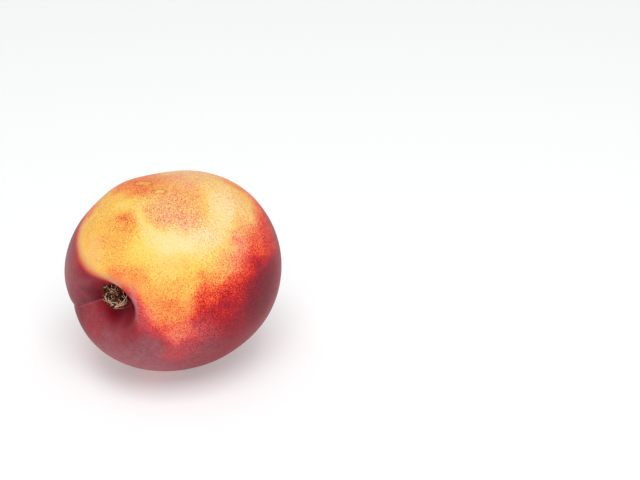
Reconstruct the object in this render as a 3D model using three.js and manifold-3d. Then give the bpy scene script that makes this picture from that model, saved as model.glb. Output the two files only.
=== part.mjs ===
// A ripe nectarine lying on its side, with the woody stub of its stalk in the stem cavity.
//
// Millimetres, +Z up. The origin is the middle of the small flat spot that the fruit rests on.
// The stem end faces -Y, lifted a little, and the suture runs down the left side as seen from there.
//
// The fruit is grown from a sphere in a frame of its own: x towards the suture, y across it and
// z towards the stem end. theta is the angle down from the stem end and phi the angle round from
// the suture.

import * as THREE from "three";
import { mergeVertices } from "three/addons/utils/BufferGeometryUtils.js";
import Module from "manifold-3d";

const wasm = await Module();
wasm.setup();

// How the fruit lies
const CENTRE = new THREE.Vector3(2.45, -2.66, 30.75); // the fruit's centre over the resting spot
const STEM_LIFT = 6.3; // degrees that the stem end points up
const SUTURE_CLOCK = 208; // degrees round from +X to the suture, looking at the stem end

// The fruit's body
const EQUATOR_RADIUS = 33.0;
const STEM_HALF = 34.0; // from the equator to the stem end, before the cavity sinks it
const TIP_HALF = 35.4; // from the equator to the blossom end
const SHOULDER = -0.047; // below 0 the widest place lies towards the blossom end
const ROUNDING = -0.04; // below 0 the ends are slimmer than a ball's
const SUTURE_STRETCH = 0.067; // share by which the suture's plane is wider than the cheeks
const CHEEK_LEAN = -0.026; // one cheek is fuller than the other
const CHEEK_CORNER = -0.019; // and each has a slight corner

// The hollow that the stem sits in: steep all round, and drawn out into the suture
const CAVITY_CENTRE = new THREE.Vector2(-1.6, 2.2); // off the fruit's axis, in its own x and y
const CAVITY_DEPTH = 12.0;
const CAVITY_RADIUS = 7.8;
const CAVITY_STEEPNESS = 2.6;
const CAVITY_SPOUT = 0.75; // share by which it reaches further on the suture's side
const CAVITY_SPOUT_POWER = 2.5; // higher makes that reach narrower

// The suture: a narrow crease in a shallow valley
const CREASE_DEPTH = 1.2;
const CREASE_WIDTH = 1.5;
const VALLEY_DEPTH = 1.7;
const VALLEY_WIDTH = 7.0;
const SUTURE_FAINTEST = 0.45; // share of its depth half way down the side
const SUTURE_TO_STEM = 0.55; // share that it gains towards the stem
const SUTURE_TO_TIP = 0.25; // share that it gains towards the tip
const SUTURE_FADE = 1.6; // higher keeps it deep closer to both ends of the axis

// The beak at the blossom end
const BEAK_HEIGHT = 1.3;
const BEAK_RADIUS = 5.0;

// The stub of the stalk: a low mound of wood with torn strands lying over it like a nest
const STUB_PLACE = new THREE.Vector2(-1.6, -0.4); // off the fruit's axis, in its own x and y
const STUB_RADIUS = 4.1;
const STUB_HEIGHT = 4.4; // its rim over the floor of the cavity
const STUB_CRATER = 1.1; // its middle below its rim
const STUB_EDGE = 1.0; // its rounded edge below its rim
const STUB_ROOT = 3.0; // below the floor of the cavity, which trims it
const STUB_GAP = 0.35; // clearance over that floor
const STRANDS = 30;
const STRAND_THICKNESS = 0.6;
const STRAND_SPAN = 4.6; // how long a strand is on average

// How finely the fruit is faceted: rows close up at both ends, and columns at the crease
const ROWS = 46;
const COLUMNS = 76;
const ROW_CROWDING = 0.5;
const COLUMN_CROWDING = 0.82;

const bell = (distance, width, power = 2) => Math.exp(-Math.pow(Math.abs(distance) / width, power));

// ---------------------------------------------------------------------------------------------
// Turning three.js geometry into solids and back

function solidFrom(geometry) {
  const bare = geometry.clone();
  bare.deleteAttribute("normal");
  bare.deleteAttribute("uv");
  const merged = mergeVertices(bare, 1e-4);
  return new wasm.Manifold(
    new wasm.Mesh({
      numProp: 3,
      vertProperties: merged.getAttribute("position").array,
      triVerts: new Uint32Array(merged.index.array),
    }),
  );
}

function geometryFrom(solid) {
  const { vertProperties, triVerts } = solid.getMesh();
  const geometry = new THREE.BufferGeometry();
  geometry.setAttribute("position", new THREE.BufferAttribute(vertProperties, 3));
  geometry.setIndex(new THREE.BufferAttribute(triVerts, 1));
  geometry.computeVertexNormals();
  return geometry;
}

// The biggest closed skin of a solid: loose scraps are dropped and sealed hollows are filled.
function largestBody(solid) {
  return solid.decompose().reduce((kept, body) => (body.volume() > kept.volume() ? body : kept));
}

// ---------------------------------------------------------------------------------------------
// The fruit's own frame, as it lies

function fruitFrame() {
  const lift = THREE.MathUtils.degToRad(STEM_LIFT);
  const clock = THREE.MathUtils.degToRad(SUTURE_CLOCK);
  const stemward = new THREE.Vector3(0, -Math.cos(lift), Math.sin(lift));
  const right = new THREE.Vector3(1, 0, 0);
  const up = new THREE.Vector3().crossVectors(stemward, right);
  const suture = right.multiplyScalar(Math.cos(clock)).addScaledVector(up, Math.sin(clock));
  const across = new THREE.Vector3().crossVectors(stemward, suture);
  return new THREE.Matrix4().makeBasis(suture, across, stemward).setPosition(CENTRE);
}

// ---------------------------------------------------------------------------------------------
// The fruit's surface

function cavityDepthAt(x, y) {
  const across = new THREE.Vector2(x, y).sub(CAVITY_CENTRE);
  const distance = across.length();
  const towardsSuture = distance > 0 ? Math.max(0, across.x / distance) : 0;
  const radius = CAVITY_RADIUS * (1 + CAVITY_SPOUT * towardsSuture ** CAVITY_SPOUT_POWER);
  return CAVITY_DEPTH * bell(distance, radius, CAVITY_STEEPNESS);
}

function fruitPoint(theta, phi) {
  const c = Math.cos(theta);
  const s = Math.sin(theta);

  const section =
    SUTURE_STRETCH * Math.cos(2 * phi) + CHEEK_LEAN * Math.sin(phi) + CHEEK_CORNER * Math.sin(3 * phi);
  const reach = EQUATOR_RADIUS * s * (1 + SHOULDER * c + ROUNDING * c * c) * (1 + s * s * section);
  const point = new THREE.Vector3(reach * Math.cos(phi), reach * Math.sin(phi), 0);

  if (c > 0) point.z = STEM_HALF * c - cavityDepthAt(point.x, point.y);
  else point.z = TIP_HALF * c - BEAK_HEIGHT * bell(reach, BEAK_RADIUS);

  // The suture is deepest at the cavity, faint over the side, and clearer again at the tip.
  const fromSuture = reach * Math.abs(phi);
  const groove =
    CREASE_DEPTH * bell(fromSuture, CREASE_WIDTH, 1) + VALLEY_DEPTH * bell(fromSuture, VALLEY_WIDTH);
  const along =
    SUTURE_FAINTEST + SUTURE_TO_STEM * Math.max(0, c) ** 0.7 + SUTURE_TO_TIP * Math.max(0, -c);
  const opening = Math.min(1, SUTURE_FADE * s);
  return point.addScaledVector(point.clone().normalize(), -groove * along * opening);
}

// A closed skin of ROWS by COLUMNS facets. lift raises the stem end's half by that much.
function fruitSolid(lift = 0) {
  const positions = [];
  const put = (theta, phi) => {
    const point = fruitPoint(theta, phi);
    if (theta < Math.PI / 2) point.z += lift;
    return positions.push(point.x, point.y, point.z) / 3 - 1;
  };
  const rowAngle = (row) => {
    const even = (Math.PI * row) / ROWS;
    return even - (ROW_CROWDING / 2) * Math.sin(2 * even);
  };
  const columnAngle = (column) => {
    const even = Math.PI * ((2 * column) / COLUMNS - 1);
    return even - COLUMN_CROWDING * Math.sin(even);
  };

  const stemPole = put(0, 0);
  const rings = [];
  for (let row = 1; row < ROWS; row++) {
    const ring = [];
    for (let column = 0; column < COLUMNS; column++) ring.push(put(rowAngle(row), columnAngle(column)));
    rings.push(ring);
  }
  const tipPole = put(Math.PI, 0);

  const faces = [];
  for (let column = 0; column < COLUMNS; column++) {
    const next = (column + 1) % COLUMNS;
    faces.push(stemPole, rings[0][column], rings[0][next]);
    for (let row = 1; row < rings.length; row++) {
      const [above, below] = [rings[row - 1], rings[row]];
      faces.push(above[column], below[column], below[next]);
      faces.push(above[column], below[next], above[next]);
    }
    const last = rings[rings.length - 1];
    faces.push(last[column], tipPole, last[next]);
  }
  return new wasm.Manifold(
    new wasm.Mesh({
      numProp: 3,
      vertProperties: new Float32Array(positions),
      triVerts: new Uint32Array(faces),
    }),
  );
}

// The fruit as it lies, with what would reach under the table cut away to a flat spot.
function fruitGeometry(frame) {
  const side = 4 * EQUATOR_RADIUS;
  const table = new THREE.BoxGeometry(side, side, side).translate(0, 0, -side / 2);
  const lying = fruitSolid().transform(frame.elements);
  return geometryFrom(lying.subtract(solidFrom(table)));
}

// ---------------------------------------------------------------------------------------------
// The stem stub: a core of wood with torn strands lying over it, fused into one body

// A small repeatable source of numbers from 0 to 1.
function seededRandom(seed) {
  let state = seed;
  return () => {
    state = (Math.imul(state, 1664525) + 1013904223) >>> 0;
    return state / 2 ** 32;
  };
}

const CAVITY_FLOOR = STEM_HALF - CAVITY_DEPTH;

// The height of the mound's top: a crater inside a rim that rolls over at the edge.
function stubTop(radius) {
  const share = radius / STUB_RADIUS;
  return CAVITY_FLOOR + STUB_HEIGHT - STUB_CRATER * bell(share, 0.5) - STUB_EDGE * share ** 6;
}

function stubCore() {
  const low = CAVITY_FLOOR - STUB_ROOT;
  const profile = [new THREE.Vector2(0, low), new THREE.Vector2(STUB_RADIUS, low)];
  for (const share of [1, 0.88, 0.7, 0.45, 0.2]) {
    profile.push(new THREE.Vector2(share * STUB_RADIUS, stubTop(share * STUB_RADIUS)));
  }
  profile.push(new THREE.Vector2(0, stubTop(0)));
  return solidFrom(new THREE.LatheGeometry(profile, 16).rotateX(Math.PI / 2));
}

// One strand lies on the mound and runs round it more than across it. A few rear up at one end.
function strand(random) {
  const start = 2 * Math.PI * random();
  const radius = STUB_RADIUS * (0.35 + 0.7 * Math.sqrt(random()));
  const way = random() < 0.5 ? -1 : 1;
  const sweep = (way * STRAND_SPAN * (0.6 + 0.8 * random())) / Math.max(radius, 0.5 * STUB_RADIUS);
  const drift = STUB_RADIUS * 0.45 * (random() - 0.5);
  const rearing = random() < 0.25 ? 1.1 * random() : 0;
  const half = STRAND_THICKNESS * (0.35 + 0.3 * random());

  const points = [];
  for (const along of [0, 0.25, 0.5, 0.75, 1]) {
    const angle = start + sweep * along;
    const wave = 0.25 * (random() - 0.5);
    const reach = Math.min(radius + drift * along + wave, 1.08 * STUB_RADIUS);
    const height = stubTop(reach) + 0.4 * half + rearing * along ** 3;
    points.push(new THREE.Vector3(reach * Math.cos(angle), reach * Math.sin(angle), height));
  }
  const section = new THREE.Shape([
    new THREE.Vector2(-half, -half),
    new THREE.Vector2(half, -half),
    new THREE.Vector2(half, half),
    new THREE.Vector2(-half, half),
  ]);
  const path = new THREE.CatmullRomCurve3(points);
  return solidFrom(new THREE.ExtrudeGeometry(section, { steps: 8, extrudePath: path }));
}

function stubGeometry(frame) {
  const random = seededRandom(7);
  let stub = stubCore();
  for (let i = 0; i < STRANDS; i++) stub = stub.add(strand(random));
  const placed = stub.translate([STUB_PLACE.x, STUB_PLACE.y, 0]);
  const trimmed = placed.subtract(fruitSolid(STUB_GAP));
  return geometryFrom(largestBody(trimmed).transform(frame.elements));
}

// ---------------------------------------------------------------------------------------------

const frame = fruitFrame();

const fruit = new THREE.Mesh(
  fruitGeometry(frame),
  new THREE.MeshStandardMaterial({ color: 0xd9573c, roughness: 0.42, metalness: 0 }),
);
fruit.name = "fruit";

const stemStub = new THREE.Mesh(
  stubGeometry(frame),
  new THREE.MeshStandardMaterial({ color: 0x5a4028, roughness: 0.85, metalness: 0 }),
);
stemStub.name = "stem_stub";

const nectarine = new THREE.Group();
nectarine.name = "nectarine";
nectarine.add(fruit, stemStub);

export default nectarine;
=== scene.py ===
"""A ripe nectarine lying on its side on a pale studio floor, one section for each piece.

Sizes are in millimetres and turned to metres by MM. Angles on the fruit are in degrees: down
from the stem end, and around from the suture.
"""

import math

import bmesh
import bpy
import numpy as np
from mathutils import Matrix, Vector


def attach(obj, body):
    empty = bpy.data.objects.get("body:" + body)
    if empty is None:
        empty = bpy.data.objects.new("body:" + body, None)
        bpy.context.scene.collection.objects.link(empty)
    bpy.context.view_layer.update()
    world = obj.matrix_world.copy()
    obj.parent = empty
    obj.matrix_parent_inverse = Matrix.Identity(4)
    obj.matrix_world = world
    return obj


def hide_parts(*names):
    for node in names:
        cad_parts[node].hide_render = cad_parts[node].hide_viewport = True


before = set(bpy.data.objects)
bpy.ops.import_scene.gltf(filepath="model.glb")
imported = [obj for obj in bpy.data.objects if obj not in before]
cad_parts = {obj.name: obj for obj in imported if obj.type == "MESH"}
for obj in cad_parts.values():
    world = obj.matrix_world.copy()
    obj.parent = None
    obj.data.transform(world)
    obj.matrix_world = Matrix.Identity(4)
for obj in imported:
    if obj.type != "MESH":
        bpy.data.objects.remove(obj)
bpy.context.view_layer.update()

# =============================================================================================
# The fruit: one body of soft flesh under a thin, hairless, faintly waxy skin. It is grown from
# a ball in a frame of its own, x towards the suture and z towards the stem end, and then laid
# down on its side, where its own weight presses a small flat spot.
# =============================================================================================

MM = 0.001

FRUIT_CENTRE = Vector((2.45, -2.66, 30.75)) * MM
STEM_LIFT = math.radians(6.3)
SUTURE_CLOCK = math.radians(208)

FRUIT_LENGTHS = {
    "Equator Radius": 33.0,
    "Stem Half": 34.0,
    "Tip Half": 35.4,
    "Cavity X": -1.6,
    "Cavity Y": 2.2,
    "Cavity Depth": 12.0,
    "Cavity Radius": 7.8,
    "Crease Depth": 1.2,
    "Crease Width": 1.5,
    "Valley Depth": 1.5,
    "Valley Width": 7.0,
    "Beak Height": 1.3,
    "Beak Radius": 5.0,
    "Lump Height": 0.2,
    "Lump Size": 17.0,
    "Cheek Height": 1.1,
}
FRUIT_SHARES = {
    "Shoulder": -0.047,
    "Rounding": -0.04,
    "Suture Stretch": 0.067,
    "Cheek Lean": -0.026,
    "Cheek Corner": -0.019,
    "Cavity Steepness": 2.6,
    "Cavity Spout": 0.75,
    "Cavity Spout Power": 2.5,
    "Cavity Corner": 0.12,
    "Cavity Corner Angle": math.radians(168),
    "Cavity Corner Width": math.radians(30),
    "Suture Faintest": 0.42,
    "Suture To Stem": 1.1,
    "Suture To Stem Power": 8.0,
    "Suture To Tip": 0.4,
    "Suture Fade": 3.5,
    "Cheek Down": math.radians(78),
    "Cheek Around": math.radians(-86),
    "Cheek Spread": math.radians(15),
    "Row Crowding": 0.35,
    "Column Crowding": 0.55,
}
FRUIT_ROWS = 262
FRUIT_COLUMNS = 336
WELD_DISTANCE = 0.001 * MM
FLAT_SPOT_SOFTNESS = 0.25 * MM


class Field:
    """A number that varies over a mesh or a surface, so that node trees read as sums."""

    def __init__(self, socket):
        self.socket = socket
        self.tree = socket.id_data

    def maths(self, operation, *others):
        node = self.tree.nodes.new("ShaderNodeMath")
        node.operation = operation
        for slot, value in zip(node.inputs, (self, *others)):
            if isinstance(value, Field):
                self.tree.links.new(value.socket, slot)
            else:
                slot.default_value = value
        return Field(node.outputs[0])

    def __add__(self, other):
        return self.maths("ADD", other)

    def __sub__(self, other):
        return self.maths("SUBTRACT", other)

    def __rsub__(self, other):
        return self.maths("MULTIPLY", -1.0) + other

    def __mul__(self, other):
        return self.maths("MULTIPLY", other)

    def __truediv__(self, other):
        return self.maths("DIVIDE", other)

    def __pow__(self, other):
        return self.maths("POWER", other)

    def __neg__(self):
        return self.maths("MULTIPLY", -1.0)

    __radd__ = __add__
    __rmul__ = __mul__

    def sin(self):
        return self.maths("SINE")

    def cos(self):
        return self.maths("COSINE")

    def size(self):
        return self.maths("ABSOLUTE")

    def at_least(self, low):
        return self.maths("MAXIMUM", low)

    def at_most(self, high):
        return self.maths("MINIMUM", high)

    def bell(self, width, power=2.0):
        return (-((self.size() / width) ** power)).maths("EXPONENT")

    def between(self, low, high):
        """0 below low, 1 above high, and smooth in between."""
        node = self.tree.nodes.new("ShaderNodeMapRange")
        node.interpolation_type = "SMOOTHSTEP"
        self.tree.links.new(self.socket, node.inputs["Value"])
        node.inputs["From Min"].default_value = low
        node.inputs["From Max"].default_value = high
        return Field(node.outputs["Result"])


def add_node(tree, kind, inputs=(), **settings):
    """A node with its settings, and its inputs given by name as fields, sockets or values."""
    node = tree.nodes.new(kind)
    for name, value in settings.items():
        setattr(node, name, value)
    for name, value in dict(inputs).items():
        if isinstance(value, Field):
            value = value.socket
        if isinstance(value, bpy.types.NodeSocket):
            tree.links.new(value, node.inputs[name])
        else:
            node.inputs[name].default_value = value
    return node


def fields_of(vector_socket):
    node = add_node(vector_socket.id_data, "ShaderNodeSeparateXYZ", {"Vector": vector_socket})
    return [Field(output) for output in node.outputs]


def vector_of(tree, *fields):
    return add_node(tree, "ShaderNodeCombineXYZ", zip("XYZ", fields)).outputs[0]


def new_recipe(name, lengths, shares):
    """An empty Geometry Nodes tree with its named inputs: the tree, and those inputs as fields."""
    tree = bpy.data.node_groups.new(name, "GeometryNodeTree")
    tree.interface.new_socket("Geometry", in_out="OUTPUT", socket_type="NodeSocketGeometry")
    for label in (*lengths, *shares):
        tree.interface.new_socket(label, in_out="INPUT", socket_type="NodeSocketFloat")
    given = tree.nodes.new("NodeGroupInput")
    return tree, {label: Field(given.outputs[label]) for label in (*lengths, *shares)}


def finish_recipe(tree, geometry, material):
    """Every recipe ends as plain, smooth, painted mesh."""
    real = add_node(tree, "GeometryNodeRealizeInstances", {"Geometry": geometry})
    smooth = add_node(tree, "GeometryNodeSetShadeSmooth", {"Geometry": real.outputs[0]})
    painted = add_node(
        tree, "GeometryNodeSetMaterial", {"Geometry": smooth.outputs[0], "Material": material}
    )
    add_node(tree, "NodeGroupOutput", {"Geometry": painted.outputs[0]})


def put_in_scene(name, data):
    thing = bpy.data.objects.new(name, data)
    bpy.context.scene.collection.objects.link(thing)
    return thing


def grow(name, tree, lengths, shares):
    """The plain mesh that a recipe makes from its inputs."""
    holder = put_in_scene(name + "_recipe", bpy.data.meshes.new(name + "_empty"))
    modifier = holder.modifiers.new("recipe", "NODES")
    modifier.node_group = tree
    for item in tree.interface.items_tree:
        if item.name in lengths:
            modifier[item.identifier] = lengths[item.name] * MM
        elif item.name in shares:
            modifier[item.identifier] = shares[item.name]
    graph = bpy.context.evaluated_depsgraph_get()
    mesh = bpy.data.meshes.new_from_object(
        holder.evaluated_get(graph), preserve_all_data_layers=True, depsgraph=graph
    )
    mesh.name = name
    holder.modifiers.remove(modifier)
    bpy.data.objects.remove(holder)
    return mesh


def fruit_frame():
    """The fruit's own x, y and z, as it lies, as a matrix."""
    stemward = Vector((0, -math.cos(STEM_LIFT), math.sin(STEM_LIFT)))
    right = Vector((1, 0, 0))
    up = stemward.cross(right)
    suture = right * math.cos(SUTURE_CLOCK) + up * math.sin(SUTURE_CLOCK)
    across = stemward.cross(suture)
    turned = Matrix((suture, across, stemward)).transposed()
    return Matrix.Translation(FRUIT_CENTRE) @ turned.to_4x4()


def fruit_recipe(material):
    """A grid wrapped round a ball, whose points are then moved to the fruit's surface."""
    tree, size = new_recipe("fruit body", FRUIT_LENGTHS, FRUIT_SHARES)
    grid = add_node(
        tree,
        "GeometryNodeMeshGrid",
        {"Size X": 1, "Size Y": 1, "Vertices X": FRUIT_COLUMNS + 1, "Vertices Y": FRUIT_ROWS + 1},
    )
    place = add_node(tree, "GeometryNodeInputPosition").outputs[0]
    column, row, _ = fields_of(place)
    even_down = (0.5 - row) * math.pi
    down = even_down - size["Row Crowding"] * 0.5 * (even_down * 2.0).sin()
    even_around = column * (2 * math.pi)
    around = even_around - size["Column Crowding"] * even_around.sin()
    towards_end, from_end = down.cos(), down.sin()

    section = (
        size["Suture Stretch"] * (around * 2.0).cos()
        + size["Cheek Lean"] * around.sin()
        + size["Cheek Corner"] * (around * 3.0).sin()
    )
    slim = 1.0 + size["Shoulder"] * towards_end + size["Rounding"] * towards_end * towards_end
    reach = size["Equator Radius"] * from_end * slim * (1.0 + from_end * from_end * section)
    x, y = reach * around.cos(), reach * around.sin()

    across_x, across_y = x - size["Cavity X"], y - size["Cavity Y"]
    distance = (across_x * across_x + across_y * across_y).maths("SQRT")
    towards_suture = (across_x / distance.at_least(WELD_DISTANCE)).at_least(0.0)
    spout = size["Cavity Spout"] * towards_suture ** size["Cavity Spout Power"]
    off_corner = (across_y.maths("ARCTAN2", across_x) - size["Cavity Corner Angle"]).size()
    off_corner = off_corner.at_most(2 * math.pi - off_corner)
    corner = size["Cavity Corner"] * off_corner.bell(size["Cavity Corner Width"])
    cavity_radius = size["Cavity Radius"] * (1.0 + spout + corner)
    cavity = size["Cavity Depth"] * distance.bell(cavity_radius, size["Cavity Steepness"])
    beak = size["Beak Height"] * reach.bell(size["Beak Radius"])
    stem_side = towards_end.maths("GREATER_THAN", 0.0)
    z = stem_side * (size["Stem Half"] * towards_end - cavity)
    z = z + (1.0 - stem_side) * (size["Tip Half"] * towards_end - beak)

    from_suture = reach * around.size()
    groove = size["Crease Depth"] * from_suture.bell(size["Crease Width"], 1.0)
    groove = groove + size["Valley Depth"] * from_suture.bell(size["Valley Width"])
    towards_stem = towards_end.at_least(0.0) ** size["Suture To Stem Power"]
    along = size["Suture Faintest"] + size["Suture To Stem"] * towards_stem
    along = along + size["Suture To Tip"] * (-towards_end).at_least(0.0)
    groove = groove * along * (size["Suture Fade"] * from_end).at_most(1.0)
    from_centre = (x * x + y * y + z * z).maths("SQRT")

    outward = vector_of(tree, from_end * around.cos(), from_end * around.sin(), towards_end)
    noise = add_node(
        tree,
        "ShaderNodeTexNoise",
        {"Vector": outward, "Scale": size["Equator Radius"] / size["Lump Size"], "Detail": 1.0},
    )
    lump = (Field(noise.outputs[0]) - 0.5) * 2.0 * size["Lump Height"]
    towards_cheek = from_end * size["Cheek Down"].sin() * (around - size["Cheek Around"]).cos()
    towards_cheek = towards_cheek + towards_end * size["Cheek Down"].cos()
    off_cheek = towards_cheek.at_most(1.0).maths("ARCCOSINE")
    cheek = size["Cheek Height"] * off_cheek.bell(size["Cheek Spread"])
    share = 1.0 + (lump + cheek - groove) / from_centre
    surface = vector_of(tree, x * share, y * share, z * share)

    marked = add_node(
        tree,
        "GeometryNodeStoreNamedAttribute",
        {"Geometry": grid.outputs["Mesh"], "Name": "skin_place", "Value": outward},
        data_type="FLOAT_VECTOR",
        domain="POINT",
    )
    shaped = add_node(
        tree, "GeometryNodeSetPosition", {"Geometry": marked.outputs[0], "Position": surface}
    )
    closed = add_node(
        tree,
        "GeometryNodeMergeByDistance",
        {"Geometry": shaped.outputs[0], "Distance": WELD_DISTANCE},
    )
    finish_recipe(tree, closed.outputs[0], material)
    return tree


# ---- where the skin is yellow and where it is red --------------------------------------------

# The side that the sun missed is yellow. Its outline goes round it through these places: down,
# around, and how softly the red begins there, in degrees. A leaf lay along its sharp stretch.
LIGHT_SIDE = (
    (55, -68, 3.0),
    (41, -69, 2.0),
    (30.5, -76, 1.6),
    (24.8, -86, 1.5),
    (20.5, -98, 1.4),
    (17.8, -112, 1.4),
    (17, -128, 1.5),
    (18.2, -142, 2.0),
    (21.6, -155, 2.8),
    (25, -163, 3.0),
    (28, -172, 3.2),
    (31, -179, 3.8),
    (34, 169, 4.2),
    (36, 158, 4.6),
    (41, 149, 6.0),
    (49, 141, 6.5),
    (53, 147, 5.0),
    (54.5, 158, 4.0),
    (57.5, 168, 4.5),
    (61, 176, 7.0),
    (70, 175, 9.0),
    (79, 178, 9.0),
    (86, -176, 8.5),
    (91, -171, 7.0),
    (99, -168, 7.0),
    (108, -163, 7.0),
    (115, -157, 6.5),
    (115, -147, 5.0),
    (110, -139, 6.0),
    (112, -124, 7.0),
    (108, -102, 9.0),
    (92, -82, 9.0),
    (74, -70, 6.0),
    (64, -68, 4.5),
)
# Oval brush marks: how red, from 0, cream, to 1, wine; the middle's down and around; half the
# length and width; the turn of the length from straight down; and how soft the edge is.
LIGHT_SIDE_RED = 0.22
LIGHT_SIDE_MARKS = (
    (0.47, 82, -96, 11, 27, 0, 0.4),
    (0.48, 64, -70, 9, 7, 0, 0.6),
    (0.46, 72, -110, 4, 13, 0, 0.8),
    (0.14, 59, -114, 4, 11, 20, 0.7),
    (0.26, 38, -127, 13, 7, 15, 0.8),
    (0.31, 38, -111, 4, 6, 0, 0.8),
    (0.33, 26, -148, 7, 6, 0, 0.7),
    (0.50, 23, -155, 5, 7, 0, 0.8),
    (0.39, 33, -168, 5, 4, 0, 0.8),
    (0.35, 50.5, -119, 6, 9.5, 10, 0.8),
    (0.47, 52, -115.5, 1.8, 3.6, 0, 0.9),
    (0.08, 50, -142, 5, 6, 0, 0.8),
    (0.42, 29, -162, 7, 6, 0, 0.7),
    (0.36, 38, 178, 6, 5, 0, 0.8),
    (0.18, 41, -147, 6, 7, 0, 0.8),
    (0.35, 83, -121, 9, 12, -40, 0.7),
    (0.32, 77, -137, 9, 18, -40, 0.8),
    (0.36, 65, -148, 6, 14, 15, 0.9),
    (0.27, 60, -134, 4, 5, 0, 0.8),
    # Cream skin paled further on top by a painted highlight of the soft box.
    (0.05, 57, -159, 14, 8, -37, 0.8),
    (0.04, 90, -153, 16, 8, 50, 0.9),
    (0.05, 73, -163, 8, 7, 0, 0.9),
    (0.17, 48, -172, 8, 6, 0, 0.7),
    (0.29, 50, 174, 8, 6, 0, 0.6),
    (0.40, 42, 166, 9, 5, 0, 0.6),
    (0.46, 47, 156, 9, 7, 0, 0.6),
    (0.41, 47, 148, 8, 4, 0, 0.8),
    (0.53, 48, 144, 8, 6, 0, 0.6),
    (0.33, 80, -178, 7, 3, 0, 0.7),
    (0.45, 87, -172, 4, 4, 0, 0.8),
    (0.31, 93, -165, 5, 6, 0, 0.8),
    (0.12, 60.5, -108, 3.5, 7, 0, 0.8),
    (0.10, 55.3, -130, 1.9, 9, -20, 0.8),
)
# The red side deepens from its palest by the edge to its darkest some way out, in soft widths.
RED_SIDE_PALEST = 0.57
RED_SIDE_DARKEST = 0.89
RED_SIDE_DEEPENS = (-0.5, 4.0)
RED_SIDE_MARKS = (
    (0.80, 26, 20, 9, 10, 0, 0.6),
    # Painted shade: darker just above the suture crease beside the stem.
    (0.96, 15, -22, 6, 5, 0, 0.5),
    (0.76, 71, 148, 12, 11, 0, 0.7),
    (0.88, 80, 142, 9, 7, 0, 0.9),
    (0.61, 65, 165, 5, 5, 0, 0.8),
    (0.69, 44, 136, 5, 5, 0, 0.9),
    (0.80, 34, -66, 8, 4, 0, 0.9),
    (0.78, 55, 121, 9, 9, 0, 0.8),
    (0.60, 50, 138, 8, 4.5, 0, 0.8),
    (0.92, 38, 117, 8, 12, 0, 0.8),
    # Painted shade of a neighbouring fruit, darkening the red skin of this flank to wine.
    (0.97, 100, 154, 10, 17, 0, 0.8),
    (0.60, 101, -176, 9, 8, 0, 0.7),
    (0.68, 114, -174, 8, 9, 0, 0.8),
    (0.94, 33, 5, 16, 12, 0, 0.8),
    (0.84, 19, 14, 9, 5, 0, 0.8),
    # Painted shade and highlight: a dark line above the crease by the stem, a paler one below it.
    (0.98, 20, -3, 11, 1.4, 0, 0.8),
    (0.78, 22, 2.3, 11, 0.4, 0, 0.8),
    (0.52, 128, -114, 36, 30, 0, 0.6),
    (0.28, 120, -112, 17, 21, 0, 0.9),
    (0.64, 104, 26, 34, 15, 15, 0.9),
    (0.50, 112, 24, 18, 7, 15, 0.9),
    (0.70, 84, 66, 18, 10, 0, 0.9),
    (0.64, 92, -34, 24, 9, -10, 0.9),
    (0.60, 150, 150, 16, 20, 0, 0.9),
    (0.96, 92, 0, 52, 0.9, 0, 0.8),
)
# The edge between the sides wanders in long waves with shorter ones on them, as shares of the
# fruit's radius. It begins to at the first softness, in degrees, and does so fully at the second.
EDGE_WOBBLE = 0.024
EDGE_LONG_WAVE = 0.22
EDGE_SHORT_WAVE = 0.09
EDGE_SHORT_SHARE = 0.5
EDGE_WOBBLES_FROM = (1.0, 5.0)
# The same marks for a greyish haze, partly wax bloom and mostly painted sheen, and for how thick
# the freckles stand, 0 being none. In the haze, the marks low and on the left are a painted
# reflection of the white floor and walls, and the large ones over the top are a painted highlight
# of the soft box and a painted reflection of the walls.
WAX_AND_SHEEN_MARKS = (
    (0.50, 36, -30, 17, 15, 0, 0.9),
    (0.60, 52, 88, 21, 21, 0, 0.9),
    (0.62, 28, 62, 12, 14, 0, 0.9),
    (1.20, 69, -147, 12, 20, 15, 0.8),
    (0.80, 94, -126, 12, 18, -40, 0.7),
    (0.45, 86, -152, 10, 22, 50, 0.8),
    (0.35, 28, -100, 10, 8, 0, 0.6),
    (0.35, 79, -178, 9, 7, 0, 0.8),
    # Painted highlights: narrow pale lines along the crest of the cavity's rim, where it catches
    # light.
    (0.90, 26, 165, 3, 10, 0, 0.7),
    (1.80, 17, -150, 1.4, 5, 33, 0.6),
    (0.60, 40, 114, 9, 14, 0, 0.8),
    (0.42, 66, 124, 12, 14, 0, 0.8),
    (0.35, 50, 139, 8, 7, 0, 0.8),
    (0.40, 60, 141, 8, 9, 0, 0.8),
    (0.45, 52, 129, 6, 7, 0, 0.8),
    (1.10, 97, -117, 4, 15, 31, 0.8),
    (0.20, 55.3, -130, 2.2, 9, -20, 0.8),
    (0.40, 33, 150, 5, 8, 0, 0.8),
    (0.35, 26, 20, 8, 20, 0, 0.8),
    (0.35, 51, -166, 9, 6, 0, 0.9),
    (0.85, 100, -151, 8, 13, 0, 0.8),
    (0.60, 86, -170, 7, 8, 0, 0.8),
    (0.60, 44, 92, 10, 16, 0, 0.8),
    (0.00, 12, 28, 6, 12, 0, 0.6),
    # Painted highlight: the pale line just below the crease by the stem.
    (0.45, 22, 2.3, 11, 0.4, 0, 0.8),
)
RED_SIDE_BLOOM = 0.08
RED_SIDE_BLOOM_FROM = (0.6, 0.9)
FRECKLES_ALL_OVER = 0.7
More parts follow.
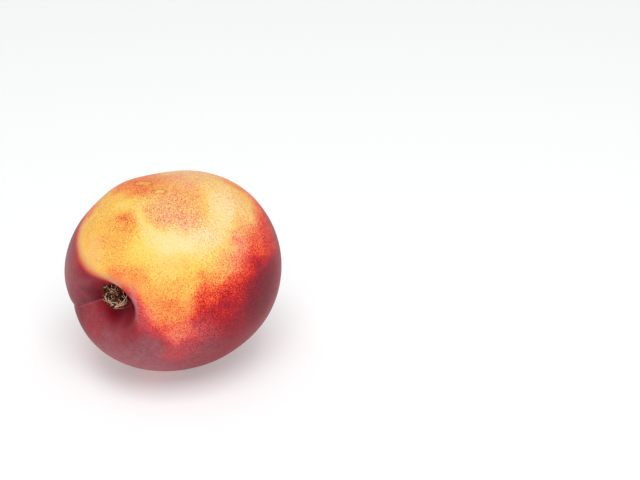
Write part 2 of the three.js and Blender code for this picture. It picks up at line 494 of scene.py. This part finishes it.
FRECKLE_MARKS = (
    (1.20, 68, -145, 16, 27, 15, 0.5),
    (0.90, 42, -120, 14, 10, 0, 0.5),
    (0.25, 54, -158, 15, 9, -37, 0.6),
    (0.60, 90, -152, 14, 8, 50, 0.5),
    (0.90, 76, 164, 26, 18, 0, 0.5),
    (0.25, 30, -95, 12, 6, 0, 0.6),
    (0.12, 22, 60, 26, 40, 0, 0.5),
    (0.12, 45, 95, 24, 24, 0, 0.4),
    (0.10, 32, -30, 20, 26, 0, 0.3),
    (1.10, 51, -119, 7, 10, 0, 0.8),
    (0.40, 61, -108, 3, 6, 0, 0.8),
    (0.30, 55.3, -130, 2.0, 9, -20, 0.8),
    (0.85, 96, -146, 12, 14, 0, 0.8),
    (0.80, 92, -164, 9, 7, 0, 0.8),
)
# Where the edge is sharp, in degrees of softness, and how far from it, in degrees, the skin is
# bare of freckles with a trace of bloom, and tan.
SHARP_UP_TO = (2.0, 5.0)
SHARP_EDGE_REACH = (2.0, 6.0)
SHARP_EDGE_BLOOM = 0.15
TAN_REACH = (0.0, 4.5)


def place_on_skin(down, around):
    """The direction of a place on the fruit from its centre, in the fruit's own frame."""
    down, around = math.radians(down), math.radians(around)
    beside = math.sin(down)
    return np.array((beside * math.cos(around), beside * math.sin(around), math.cos(down)))


def ripple(places, wavelength, seed, waves=24):
    """Smooth seeded unevenness over the fruit, mostly from -1 to 1."""
    random = np.random.default_rng(seed)
    ways = random.normal(size=(waves, 3))
    ways *= 2 * math.pi / wavelength / np.linalg.norm(ways, axis=1, keepdims=True)
    starts = random.uniform(0, 2 * math.pi, waves)
    return np.sin(places @ ways.T + starts).sum(axis=1) / math.sqrt(waves)


def mark_ways(down, around, turn):
    """The ways along and across an oval mark, turned from straight down."""
    down, around, turn = (math.radians(angle) for angle in (down, around, turn))
    beside = math.cos(down)
    downward = np.array((beside * math.cos(around), beside * math.sin(around), -math.sin(down)))
    sideways = np.array((-math.sin(around), math.cos(around), 0.0))
    along = downward * math.cos(turn) + sideways * math.sin(turn)
    return along, sideways * math.cos(turn) - downward * math.sin(turn)


def smooth_step(value, low, high):
    """0 below low, 1 above high, and smooth in between."""
    share = np.clip((value - low) / (high - low), 0, 1)
    return share * share * (3 - 2 * share)


def brush_mark(places, down, around, long, wide, turn, edge):
    """How much of an oval brush mark each place gets, from 0 to 1."""
    centre = place_on_skin(down, around)
    apart = np.degrees(np.arccos(np.clip(places @ centre, -1, 1)))
    flat = np.stack([places @ way for way in mark_ways(down, around, turn)], 1)
    flat = flat / np.maximum(np.linalg.norm(flat, axis=1, keepdims=True), 1e-9) * apart[:, None]
    reach = np.hypot(flat[:, 0] / long, flat[:, 1] / wide)
    return smooth_step(1 + edge - reach, 0, 2 * edge)


def brush_over(amount, places, marks):
    """Paints each mark in turn over what is there."""
    for wanted, *mark in marks:
        amount = amount + (wanted - amount) * brush_mark(places, *mark)
    return amount


def light_side_edge(places):
    """How far each place is inside the light side, and how soft the edge is there, in degrees."""
    down = np.degrees(np.arccos(np.clip(places[:, 2], -1, 1)))
    around = np.arctan2(places[:, 1], places[:, 0])
    spots = np.stack([down * np.cos(around), down * np.sin(around)], 1)
    corners = []
    for corner_down, corner_around, soft in LIGHT_SIDE:
        turn = math.radians(corner_around)
        corners.append(np.array((corner_down * math.cos(turn), corner_down * math.sin(turn), soft)))
    nearest = np.full(len(places), np.inf)
    softness = np.ones(len(places))
    inside = np.zeros(len(places), bool)
    for here, there in zip(corners, corners[1:] + corners[:1]):
        way = (there - here)[:2]
        along = np.clip((spots - here[:2]) @ way / (way @ way), 0, 1)
        apart = np.linalg.norm(spots - here[:2] - along[:, None] * way, axis=1)
        closer = apart < nearest
        nearest = np.where(closer, apart, nearest)
        softness = np.where(closer, here[2] + along * (there[2] - here[2]), softness)
        level = (here[1] > spots[:, 1]) != (there[1] > spots[:, 1])
        rise = way[1] if way[1] else 1e-9
        inside ^= level & (spots[:, 0] < here[0] + way[0] * (spots[:, 1] - here[1]) / rise)
    return np.where(inside, nearest, -nearest), softness


def blush_at(places):
    """How red the skin is, from 0, cream, to 1, wine."""
    long_waves = np.stack([ripple(places, EDGE_LONG_WAVE, seed) for seed in (1, 2, 3)], 1)
    short_waves = np.stack([ripple(places, EDGE_SHORT_WAVE, seed) for seed in (4, 5, 6)], 1)
    wobble = long_waves + EDGE_SHORT_SHARE * short_waves
    _, softness = light_side_edge(places)
    places = places + EDGE_WOBBLE * wobble * smooth_step(softness, *EDGE_WOBBLES_FROM)[:, None]
    places = places / np.linalg.norm(places, axis=1, keepdims=True)

    depth, softness = light_side_edge(places)
    depth = depth / softness
    light = brush_over(np.full(len(places), LIGHT_SIDE_RED), places, LIGHT_SIDE_MARKS)
    deeper = smooth_step(-depth, *RED_SIDE_DEEPENS)
    red = RED_SIDE_PALEST + (RED_SIDE_DARKEST - RED_SIDE_PALEST) * deeper
    red = brush_over(red, places, RED_SIDE_MARKS)
    return red + (light - red) * smooth_step(depth, -1, 1)


def paint_skin(mesh):
    """Stores the skin's painting on its points, for the material to read."""
    places = np.zeros(len(mesh.vertices) * 3)
    mesh.attributes["skin_place"].data.foreach_get("vector", places)
    places = places.reshape(-1, 3)
    places = places / np.linalg.norm(places, axis=1, keepdims=True)
    depth, softness = light_side_edge(places)
    sharp = 1 - smooth_step(softness, *SHARP_UP_TO)
    beside_edge = sharp * (1 - smooth_step(np.abs(depth), *SHARP_EDGE_REACH))
    blush = blush_at(places)
    # The haze starts as a little wax bloom on the red side; the marks over it are mostly painted
    # sheen.
    wax_and_sheen = RED_SIDE_BLOOM * smooth_step(blush, *RED_SIDE_BLOOM_FROM)
    wax_and_sheen = brush_over(wax_and_sheen, places, WAX_AND_SHEEN_MARKS)
    freckles = brush_over(np.full(len(places), FRECKLES_ALL_OVER), places, FRECKLE_MARKS)
    layers = {
        "leaf_edge": sharp * (1 - smooth_step(np.abs(depth), *TAN_REACH)),
        "blush": blush,
        "wax_and_sheen": np.maximum(wax_and_sheen, beside_edge * SHARP_EDGE_BLOOM),
        "freckles": freckles * (1 - beside_edge),
    }
    for name, amounts in layers.items():
        attribute = mesh.attributes.new(name, "FLOAT", "POINT")
        attribute.data.foreach_set("value", amounts.astype(np.float32))


# ---- how the skin looks ----------------------------------------------------------------------

SKIN_COLOURS = (
    (0.00, (0.96, 0.72, 0.34)),
    (0.15, (0.95, 0.60, 0.112)),
    (0.32, (0.93, 0.40, 0.085)),
    (0.46, (0.90, 0.24, 0.066)),
    (0.60, (0.86, 0.085, 0.037)),
    (0.72, (0.60, 0.017, 0.016)),
    (0.85, (0.32, 0.007, 0.019)),
    (1.00, (0.12, 0.003, 0.011)),
)
FRECKLE_COLOURS = (
    (0.0, (0.72, 0.37, 0.12)),
    (0.25, (0.58, 0.20, 0.035)),
    (0.45, (0.46, 0.060, 0.014)),
    (0.62, (0.31, 0.012, 0.010)),
    (0.8, (0.15, 0.006, 0.014)),
    (1.0, (0.22, 0.02, 0.03)),
)
LEAF_EDGE_COLOUR = (0.68, 0.30, 0.10, 1)
LEAF_EDGE_STRENGTH = 0.55
# The greyish pink haze: partly wax bloom, mostly painted sheen and painted highlight.
WAX_AND_SHEEN_COLOUR = (0.80, 0.57, 0.63, 1)
WAX_AND_SHEEN_STRENGTH = 0.24
WAX_AND_SHEEN_GRAIN = 2.2 * MM
WAX_AND_SHEEN_UNEVENNESS = 0.3
# Russet marks: the middle's down and around, half the length and width, in degrees, and the turn.
RUSSET_MARKS = (
    (78.5, -105, 2.6, 7.0, 0),
    (73.5, -123, 2.2, 3.6, 15),
    (64, 46, 2.6, 1.6, 20),
)
RUSSET_PALENESS = 0.17
RUSSET_MIDDLE_STRENGTH = 0.65
RUSSET_MIDDLE_EDGE = (1.0, 0.6)
RUSSET_COLOUR = (0.44, 0.15, 0.045, 1)
RUSSET_RING_STRENGTH = 0.55
RUSSET_RING_REACH = 0.95
RUSSET_RING_WIDTH = 0.2
RUSSET_EDGE_GRAIN = 1.2 * MM
RUSSET_RAGGEDNESS = 1.3
RUSSET_GAP_GRAIN = 1.1 * MM
RUSSET_GAP_CONTRAST = 3.0
RUSSET_GAP_FILL = 0.75
OUT_OF_REACH = 9.0
# Unevenness of the blush: a fine speckle, a grain, a mottle and streaks. It is strongest between
# yellow and wine, and the speckle also darkens the skin where freckles stand.
FINE_GRAIN = 0.38 * MM
GRAIN = 1.3 * MM
MOTTLE = 4.5 * MM
SPECKLE_STRENGTH = 0.6
GRAIN_STRENGTH = 0.07
MOTTLE_STRENGTH = 0.12
STREAK_STRENGTH = 0.2
STREAKS_AROUND = 9.0
STREAKS_DOWN = 1.6
UNEVEN_BELOW = 0.97
UNEVENNESS = 4.3
UNEVEN_AT_LEAST = 0.15
SPECKLE_AT_LEAST = 0.3
SPECKLE_DARKNESS = 0.5
# Freckles: how far across each reaches, as a share of their spacing.
FRECKLE_SPACING = 0.47 * MM
FRECKLE_SMALLEST = 0.24
FRECKLE_SIZE_SPREAD = 0.22
FRECKLE_SIZE_GAIN = 0.14
FRECKLE_EDGE = (0.3, 1.1)
FRECKLE_STRENGTH = 0.88
SKIN_ROUGHNESS = 0.40
SKIN_ROUGHNESS_GRAIN = 1.8 * MM
SKIN_ROUGHNESS_SPREAD = 0.12
SKIN_SPECULAR = 0.08
PORE_SIZE = 0.55 * MM
PORE_DEPTH = 0.03 * MM
PORE_STRENGTH = 0.5


def colour_ramp(tree, share, stops):
    ramp = add_node(tree, "ShaderNodeValToRGB", {"Fac": share})
    elements = ramp.color_ramp.elements
    while len(elements) < len(stops):
        elements.new(0.5)
    for element, (position, colour) in zip(elements, stops):
        element.position = position
        element.color = (*colour, 1)
    return ramp.outputs[0]


def blend_colours(tree, share, under, over):
    mix = add_node(tree, "ShaderNodeMix", {"Factor": share}, data_type="RGBA")
    sockets = {socket.identifier: socket for socket in (*mix.inputs, *mix.outputs)}
    for socket, colour in ((sockets["A_Color"], under), (sockets["B_Color"], over)):
        if isinstance(colour, bpy.types.NodeSocket):
            tree.links.new(colour, socket)
        else:
            socket.default_value = colour
    return sockets["Result_Color"]


def bare_material(name):
    """A material without nodes, and its tree."""
    material = bpy.data.materials.new(name)
    material.use_nodes = True
    material.node_tree.nodes.clear()
    return material, material.node_tree


def skin_material():
    material, tree = bare_material("nectarine skin")

    def painted(name):
        node = add_node(tree, "ShaderNodeAttribute", attribute_name=name)
        return Field(node.outputs["Fac"])

    def dot_with(vector, way):
        inputs = {0: vector, 1: Vector(way)}
        node = add_node(tree, "ShaderNodeVectorMath", inputs, operation="DOT_PRODUCT")
        return Field(node.outputs["Value"])

    coords = add_node(tree, "ShaderNodeTexCoord").outputs["Object"]

    def grain(size, detail=2.0, roughness=0.6, where=coords):
        inputs = {"Vector": where, "Scale": 1 / size, "Detail": detail, "Roughness": roughness}
        return Field(add_node(tree, "ShaderNodeTexNoise", inputs).outputs[0]) - 0.5

    # Streaks run from the stem end to the tip.
    place = add_node(tree, "ShaderNodeAttribute", attribute_name="skin_place").outputs["Vector"]
    x, y, z = fields_of(place)
    reach = (x * x + y * y).maths("SQRT").at_least(1e-3)
    run = vector_of(
        tree, x / reach * STREAKS_AROUND, y / reach * STREAKS_AROUND, z * STREAKS_DOWN
    )
    streaks = grain(1.0, detail=3.0, where=run) * reach.at_most(1.0)

    blush = painted("blush")
    freckled = painted("freckles")
    speckle = grain(FINE_GRAIN, detail=1.0)
    speckle = speckle * (SPECKLE_AT_LEAST + freckled * (1 - SPECKLE_AT_LEAST))
    rough = speckle * SPECKLE_STRENGTH + grain(GRAIN) * GRAIN_STRENGTH
    rough = rough + grain(MOTTLE) * MOTTLE_STRENGTH + streaks * STREAK_STRENGTH
    uneven = blush * (UNEVEN_BELOW - blush) * UNEVENNESS
    shade = blush + rough * (UNEVEN_AT_LEAST + uneven * (1 - UNEVEN_AT_LEAST))
    colour = colour_ramp(tree, shade, SKIN_COLOURS)

    # Where the leaf lay, the skin turns from yellow to wine through tan, not through red.
    leaf_edge = painted("leaf_edge") * LEAF_EDGE_STRENGTH
    colour = blend_colours(tree, leaf_edge, colour, LEAF_EDGE_COLOUR)

    # A greyish haze over the skin: partly wax bloom, mostly painted sheen and painted highlights.
    cloudy = (grain(WAX_AND_SHEEN_GRAIN) - speckle) * WAX_AND_SHEEN_UNEVENNESS
    wax_and_sheen = painted("wax_and_sheen") * (WAX_AND_SHEEN_STRENGTH + cloudy)
    colour = blend_colours(tree, wax_and_sheen.at_least(0.0), colour, WAX_AND_SHEEN_COLOUR)

    # Each russet mark is a ragged ring of cork round a paler middle.
    paler = colour_ramp(tree, shade - RUSSET_PALENESS, SKIN_COLOURS)
    for down, around, long, wide, turn in RUSSET_MARKS:
        along, across = mark_ways(down, around, turn)
        along = dot_with(place, along / math.sin(math.radians(long)))
        across = dot_with(place, across / math.sin(math.radians(wide)))
        far_side = 1.0 - dot_with(place, place_on_skin(down, around)).between(0.0, 0.1)
        out = (along * along + across * across).maths("SQRT") + far_side * OUT_OF_REACH
        out = out + grain(RUSSET_EDGE_GRAIN, detail=3.0) * RUSSET_RAGGEDNESS
        middle = out.between(*RUSSET_MIDDLE_EDGE) * RUSSET_MIDDLE_STRENGTH
        colour = blend_colours(tree, middle, colour, paler)
        unbroken = grain(RUSSET_GAP_GRAIN) * RUSSET_GAP_CONTRAST + RUSSET_GAP_FILL
        ring = (out - RUSSET_RING_REACH).bell(RUSSET_RING_WIDTH) * unbroken.between(0.0, 1.0)
        colour = blend_colours(tree, ring * RUSSET_RING_STRENGTH, colour, RUSSET_COLOUR)

    # Freckles are dots of uneven size, some of them missing.
    inputs = {"Vector": coords, "Scale": 1 / FRECKLE_SPACING, "Randomness": 1.0}
    cells = add_node(tree, "ShaderNodeTexVoronoi", inputs)
    pick, bigness, _ = fields_of(cells.outputs["Color"])
    dot_reach = FRECKLE_SMALLEST + bigness * FRECKLE_SIZE_SPREAD + freckled * FRECKLE_SIZE_GAIN
    dot = 1.0 - (Field(cells.outputs["Distance"]) / dot_reach).between(*FRECKLE_EDGE)
    shown = (freckled - pick).between(0.0, 0.2)
    freckle_colour = colour_ramp(tree, shade, FRECKLE_COLOURS)
    colour = blend_colours(tree, dot * shown * FRECKLE_STRENGTH, colour, freckle_colour)

    inputs = {"Vector": colour, "Scale": 1.0 - speckle * (1.0 + blush) * SPECKLE_DARKNESS}
    colour = add_node(tree, "ShaderNodeVectorMath", inputs, operation="SCALE").outputs[0]

    inputs = {"Height": grain(PORE_SIZE), "Distance": PORE_DEPTH, "Strength": PORE_STRENGTH}
    pores = add_node(tree, "ShaderNodeBump", inputs)
    roughness = grain(SKIN_ROUGHNESS_GRAIN) * SKIN_ROUGHNESS_SPREAD + SKIN_ROUGHNESS
    skin = add_node(
        tree,
        "ShaderNodeBsdfPrincipled",
        {
            "Base Color": colour,
            "Roughness": roughness,
            "Specular IOR Level": SKIN_SPECULAR,
            "Normal": pores.outputs[0],
        },
    )
    add_node(tree, "ShaderNodeOutputMaterial", {"Surface": skin.outputs[0]})
    return material


def settle(mesh, softness):
    """Presses what would reach under the table up to it, with a soft edge."""
    points = np.zeros(len(mesh.vertices) * 3)
    mesh.vertices.foreach_get("co", points)
    points = points.reshape(-1, 3)
    height = points[:, 2]
    points[:, 2] = 0.5 * (height + np.sqrt(height * height + 4 * softness * softness)) - softness
    points[:, 2] = np.maximum(points[:, 2], 0.0)
    mesh.vertices.foreach_set("co", points.ravel())
    mesh.update()


FRUIT_FRAME = fruit_frame()
fruit_mesh = grow("fruit_skin", fruit_recipe(skin_material()), FRUIT_LENGTHS, FRUIT_SHARES)
fruit_mesh.transform(FRUIT_FRAME)
settle(fruit_mesh, FLAT_SPOT_SOFTNESS)
paint_skin(fruit_mesh)
fruit = put_in_scene("fruit_skin", fruit_mesh)
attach(fruit, "root")
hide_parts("fruit")

# =============================================================================================
# The stem stub: what picking left of the stalk. A low mound of dry brown wood stands in the floor
# of the stem cavity, and its torn fibres lie over it and round it like a nest.
# =============================================================================================

STUB_LENGTHS = {
    "Place X": -0.9,
    "Place Y": -0.4,
    "Cavity Floor": FRUIT_LENGTHS["Stem Half"] - FRUIT_LENGTHS["Cavity Depth"],
    "Radius": 4.0,
    "Height": 4.4,
    "Crater": 1.1,
    "Edge": 1.0,
    "Root": 3.0,
    "Core Drop": 0.9,
    "Roughness": 0.8,
    "Fibre Span": 5.6,
    "Fibre Thickness": 0.36,
    "Fibre Lift": 0.9,
    "Fibre Rearing": 1.6,
}
STUB_SHARES = {
    "Crater Width": 0.5,
    "Edge Sharpness": 6.0,
    "Core Width": 0.88,
    "Innermost Fibre": 0.1,
    "Outermost Fibre": 1.22,
    "Fibre Drift": 1.0,
    "Fibre Waviness": 0.13,
    "Pale Fibres": 0.5,
}
MOUND_SEGMENTS = 64
MOUND_RINGS = 40
MOUND_ROUGHNESS_SCALE = 7.0
# The heights on the ball between which the mound's side rises, and how soon from its axis the top
# reaches its full width and roughness.
MOUND_SIDE = (-0.5, 0.35)
MOUND_WIDENS = 1.3
MOUND_ROUGHENS = 3.0
FIBRES = 120
FIBRE_POINTS = 8
FIBRE_SIDES = 5
# Each fibre draws its own share of the span, thickness and lift, its number of waves in radians,
# and the furthest it may reach from the middle.
FIBRE_LENGTHS = (0.35, 1.35)
FIBRE_THICKNESSES = (0.45, 1.1)
FIBRE_LIFTS = (-0.3, 1.0)
FIBRE_WAVES = (3, 11)
FIBRE_LIMITS = (0.95, 1.4)
FIBRE_SPACING_POWER = 0.6
FIBRE_TIGHTEST_TURN = 0.5
LYING_FIBRES = 0.82
FIBRE_TAPER = 0.6
FIBRE_TAPER_POWER = 4.0
FIBRE_DARKEST = 0.1
FIBRE_TONE_SPREAD = 0.3
FIBRE_PALENESS = 0.66


def random_for(tree, what, seed, low=0.0, high=1.0):
    """A seeded number from low to high, the same all along one fibre."""
    node = tree.nodes.new("FunctionNodeRandomValue")
    minimum, maximum = [item for item in node.inputs if item.enabled and item.type == "VALUE"]
    minimum.default_value = low
    maximum.default_value = high
    tree.links.new(what.socket, node.inputs["ID"])
    node.inputs["Seed"].default_value = seed
    return Field([item for item in node.outputs if item.enabled][0])


def stub_recipe(material):
    """The mound, and fibres that are rows of points laid on it and then given thickness."""
    tree, size = new_recipe("stem stub", STUB_LENGTHS, STUB_SHARES)

    def top_at(reach):
        share = reach / size["Radius"]
        low = size["Crater"] * share.bell(size["Crater Width"])
        low = low + size["Edge"] * share ** size["Edge Sharpness"]
        return size["Cavity Floor"] + size["Height"] - low

    def placed(reach, angle, height):
        x = size["Place X"] + reach * angle.cos()
        return vector_of(tree, x, size["Place Y"] + reach * angle.sin(), height)

    def toned(geometry, tone):
        return add_node(
            tree,
            "GeometryNodeStoreNamedAttribute",
            {"Geometry": geometry, "Name": "wood_tone", "Value": tone},
            domain="POINT",
        ).outputs[0]

    ball = add_node(
        tree,
        "GeometryNodeMeshUVSphere",
        {"Segments": MOUND_SEGMENTS, "Rings": MOUND_RINGS, "Radius": 1.0},
    )
    place = add_node(tree, "GeometryNodeInputPosition").outputs[0]
    x, y, z = fields_of(place)
    noise = add_node(
        tree,
        "ShaderNodeTexNoise",
        {"Vector": place, "Scale": MOUND_ROUGHNESS_SCALE, "Detail": 3.0},
    )
    rough = (Field(noise.outputs[0]) - 0.5) * size["Roughness"]
    out = (x * x + y * y).maths("SQRT")
    reach = size["Radius"] * size["Core Width"] * (out * MOUND_WIDENS).at_most(1.0)
    reach = reach + rough * (out * MOUND_ROUGHENS).at_most(1.0)
    low = size["Cavity Floor"] - size["Root"]
    high = top_at(reach) - size["Core Drop"] + rough
    height = low + (high - low) * z.between(*MOUND_SIDE)
    surface = placed(reach, y.maths("ARCTAN2", x), height)
    mound = add_node(
        tree, "GeometryNodeSetPosition", {"Geometry": ball.outputs["Mesh"], "Position": surface}
    )

    index = Field(add_node(tree, "GeometryNodeInputIndex").outputs[0])
    fibre = (index / FIBRE_POINTS).maths("FLOOR")
    along = (index - fibre * FIBRE_POINTS) / (FIBRE_POINTS - 1)
    spread = size["Outermost Fibre"] - size["Innermost Fibre"]
    ring = size["Innermost Fibre"] + spread * random_for(tree, fibre, 1) ** FIBRE_SPACING_POWER
    radius = size["Radius"] * ring
    way = random_for(tree, fibre, 2, -1, 1).maths("SIGN")
    length = size["Fibre Span"] * random_for(tree, fibre, 3, *FIBRE_LENGTHS)
    sweep = way * length / radius.at_least(size["Radius"] * FIBRE_TIGHTEST_TURN)
    drift = size["Fibre Drift"] * random_for(tree, fibre, 4, -0.5, 0.5)
    waves = along * random_for(tree, fibre, 5, *FIBRE_WAVES)
    wave = (waves + random_for(tree, fibre, 6, 0, 6)).sin()
    reach = radius + size["Radius"] * (drift * along + size["Fibre Waviness"] * wave)
    reach = reach.at_most(size["Radius"] * random_for(tree, fibre, 15, *FIBRE_LIMITS))
    angle = random_for(tree, fibre, 7, 0, 2 * math.pi) + sweep * along
    rears = random_for(tree, fibre, 8).maths("GREATER_THAN", LYING_FIBRES)
    rearing = size["Fibre Rearing"] * rears * random_for(tree, fibre, 9) * along**3.0
    lift = size["Fibre Lift"] * random_for(tree, fibre, 10, *FIBRE_LIFTS)
    arch = size["Fibre Lift"] * random_for(tree, fibre, 11) * (along * math.pi).sin()
    height = top_at(reach) + lift + arch + rearing
    points = add_node(
        tree,
        "GeometryNodePoints",
        {"Count": FIBRES * FIBRE_POINTS, "Position": placed(reach, angle, height)},
    )
    lines = add_node(
        tree,
        "GeometryNodePointsToCurves",
        {"Points": points.outputs[0], "Curve Group ID": fibre, "Weight": along},
    )
    pale = (size["Pale Fibres"] - random_for(tree, fibre, 14)).between(0.0, 0.1)
    tone = FIBRE_DARKEST + random_for(tree, fibre, 12) * FIBRE_TONE_SPREAD
    tone = tone + pale * FIBRE_PALENESS
    # The section is one unit across, so its scale is the fibre's thickness.
    section = add_node(
        tree, "GeometryNodeCurvePrimitiveCircle", {"Resolution": FIBRE_SIDES, "Radius": 0.5}
    )
    taper = 1.0 - (along * 2.0 - 1.0).size() ** FIBRE_TAPER_POWER * FIBRE_TAPER
    thickness = size["Fibre Thickness"] * random_for(tree, fibre, 13, *FIBRE_THICKNESSES)
    thickness = thickness * taper
    tubes = add_node(
        tree,
        "GeometryNodeCurveToMesh",
        {
            "Curve": toned(lines.outputs[0], tone),
            "Profile Curve": section.outputs[0],
            "Scale": thickness,
            "Fill Caps": True,
        },
    )
    nest = tree.nodes.new("GeometryNodeJoinGeometry")
    tree.links.new(toned(mound.outputs[0], 0.0), nest.inputs[0])
    tree.links.new(tubes.outputs[0], nest.inputs[0])
    finish_recipe(tree, nest.outputs[0], material)
    return tree


WOOD_COLOURS = (
    (0.0, (0.018, 0.004, 0.0015)),
    (0.3, (0.09, 0.022, 0.006)),
    (0.6, (0.32, 0.11, 0.036)),
    (1.0, (0.95, 0.66, 0.48)),
)
WOOD_ROUGHNESS = 0.8
WOOD_SPECULAR = 0.1
WOOD_GRAIN = 0.35 * MM
WOOD_UNEVENNESS = 0.9
WOOD_RELIEF = 0.1 * MM
WOOD_RELIEF_STRENGTH = 0.8


def wood_material():
    material, tree = bare_material("dry stalk wood")
    tone = Field(add_node(tree, "ShaderNodeAttribute", attribute_name="wood_tone").outputs["Fac"])
    coords = add_node(tree, "ShaderNodeTexCoord").outputs["Object"]
    inputs = {"Vector": coords, "Scale": 1 / WOOD_GRAIN, "Detail": 3.0}
    grain = Field(add_node(tree, "ShaderNodeTexNoise", inputs).outputs[0]) - 0.5
    inputs = {"Height": grain, "Distance": WOOD_RELIEF, "Strength": WOOD_RELIEF_STRENGTH}
    relief = add_node(tree, "ShaderNodeBump", inputs)
    wood = add_node(
        tree,
        "ShaderNodeBsdfPrincipled",
        {
            "Base Color": colour_ramp(tree, tone + grain * WOOD_UNEVENNESS, WOOD_COLOURS),
            "Roughness": WOOD_ROUGHNESS,
            "Specular IOR Level": WOOD_SPECULAR,
            "Normal": relief.outputs[0],
        },
    )
    add_node(tree, "ShaderNodeOutputMaterial", {"Surface": wood.outputs[0]})
    return material


stub_mesh = grow("stem_stub_wood", stub_recipe(wood_material()), STUB_LENGTHS, STUB_SHARES)
stub_mesh.transform(FRUIT_FRAME)
stub = put_in_scene("stem_stub_wood", stub_mesh)
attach(stub, "root")
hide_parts("stem_stub")

# =============================================================================================
# The studio: the fruit lies on a round sweep of matt white card, flat under it and curved up far
# away. One large soft box hangs high over it on the camera's side, and white walls all round fill
# the shade.
# =============================================================================================

SWEEP_FLAT = 1500 * MM
SWEEP_CURVE = 300 * MM
SWEEP_WALL = 250 * MM
SWEEP_SEGMENTS = 128
SWEEP_STEPS = 12
SWEEP_COLOUR = (0.739, 0.751, 0.755, 1)
SWEEP_ROUGHNESS = 0.7
SWEEP_GLOW = 0.30
WHITE = (1, 1, 1, 1)


def studio_sweep():
    """A round white sweep: flat under the fruit, and curved up into a low wall far around it."""
    profile = [(SWEEP_FLAT * share, 0.0) for share in (0.25, 0.5, 0.75)]
    for step in range(SWEEP_STEPS + 1):
        turn = 0.5 * math.pi * step / SWEEP_STEPS
        out = SWEEP_FLAT + SWEEP_CURVE * math.sin(turn)
        profile.append((out, SWEEP_CURVE * (1 - math.cos(turn))))
    profile.append((SWEEP_FLAT + SWEEP_CURVE, SWEEP_CURVE + SWEEP_WALL))

    shape = bmesh.new()
    rings = []
    for out, height in profile:
        ring = []
        for segment in range(SWEEP_SEGMENTS):
            turn = 2 * math.pi * segment / SWEEP_SEGMENTS
            ring.append(shape.verts.new((out * math.cos(turn), out * math.sin(turn), height)))
        rings.append(ring)
    middle = shape.verts.new((0, 0, 0))
    for segment in range(SWEEP_SEGMENTS):
        beside = (segment + 1) % SWEEP_SEGMENTS
        shape.faces.new((middle, rings[0][segment], rings[0][beside]))
        for inner, outer in zip(rings, rings[1:]):
            shape.faces.new((inner[segment], outer[segment], outer[beside], inner[beside]))
    mesh = bpy.data.meshes.new("studio_sweep")
    shape.to_mesh(mesh)
    shape.free()
    mesh.shade_smooth()

    material = bpy.data.materials.new("white sweep")
    material.use_nodes = True
    shader = material.node_tree.nodes["Principled BSDF"]
    shader.inputs["Base Color"].default_value = SWEEP_COLOUR
    shader.inputs["Roughness"].default_value = SWEEP_ROUGHNESS
    shader.inputs["Emission Color"].default_value = WHITE
    shader.inputs["Emission Strength"].default_value = SWEEP_GLOW
    mesh.materials.append(material)
    put_in_scene("studio_sweep", mesh)


SOFT_BOX_PLACE = Vector((320, -280, 870)) * MM
SOFT_BOX_TARGET = Vector((0, 0, 30)) * MM
SOFT_BOX_SIZE = 600 * MM
SOFT_BOX_WATTS = 5.9
WALL_STRENGTH = 0.48


def soft_box(name, place, target, size, watts):
    light = bpy.data.lights.new(name, "AREA")
    light.shape = "SQUARE"
    light.size = size
    light.energy = watts
    lamp = put_in_scene(name, light)
    lamp.location = place
    lamp.rotation_euler = (target - place).to_track_quat("-Z", "Y").to_euler()


studio_sweep()
soft_box("overhead_light", SOFT_BOX_PLACE, SOFT_BOX_TARGET, SOFT_BOX_SIZE, SOFT_BOX_WATTS)

world = bpy.data.worlds.new("white studio")
world.use_nodes = True
walls = world.node_tree.nodes["Background"]
walls.inputs["Color"].default_value = WHITE
walls.inputs["Strength"].default_value = WALL_STRENGTH
bpy.context.scene.world = world
bpy.context.scene.view_settings.view_transform = "Standard"

# Where the camera stands: it looks at the stem end from its right and above, with the fruit
# left of the middle of the frame.
VIEW_AZIMUTH = math.radians(39.33)
VIEW_ELEVATION = math.radians(28.55)
LENS = 100.0
SENSOR = 36.0
FRAME_WIDTH = 640
FRAME_HEIGHT = 480
FRUIT_IN_FRAME = (171.2, 272.3)
FRUIT_DISTANCE = 555.6 * MM
NEAREST_SEEN = 10 * MM


def make_camera():
    camera = bpy.data.cameras.new("camera")
    camera.lens = LENS
    camera.sensor_width = SENSOR
    camera.clip_start = NEAREST_SEEN
    right = Vector((math.cos(VIEW_AZIMUTH), math.sin(VIEW_AZIMUTH), 0))
    back = Vector(
        (
            math.sin(VIEW_AZIMUTH) * math.cos(VIEW_ELEVATION),
            -math.cos(VIEW_AZIMUTH) * math.cos(VIEW_ELEVATION),
            math.sin(VIEW_ELEVATION),
        )
    )
    up = back.cross(right)
    pixels_per_length = LENS / SENSOR * FRAME_WIDTH
    aside = (FRUIT_IN_FRAME[0] - FRAME_WIDTH / 2) / pixels_per_length
    above = (FRAME_HEIGHT / 2 - FRUIT_IN_FRAME[1]) / pixels_per_length
    place = FRUIT_CENTRE - FRUIT_DISTANCE * (right * aside + up * above - back)
    holder = put_in_scene("camera", camera)
    turned = Matrix((right, up, back)).transposed().to_4x4()
    holder.matrix_world = Matrix.Translation(place) @ turned
    bpy.context.scene.camera = holder


make_camera()
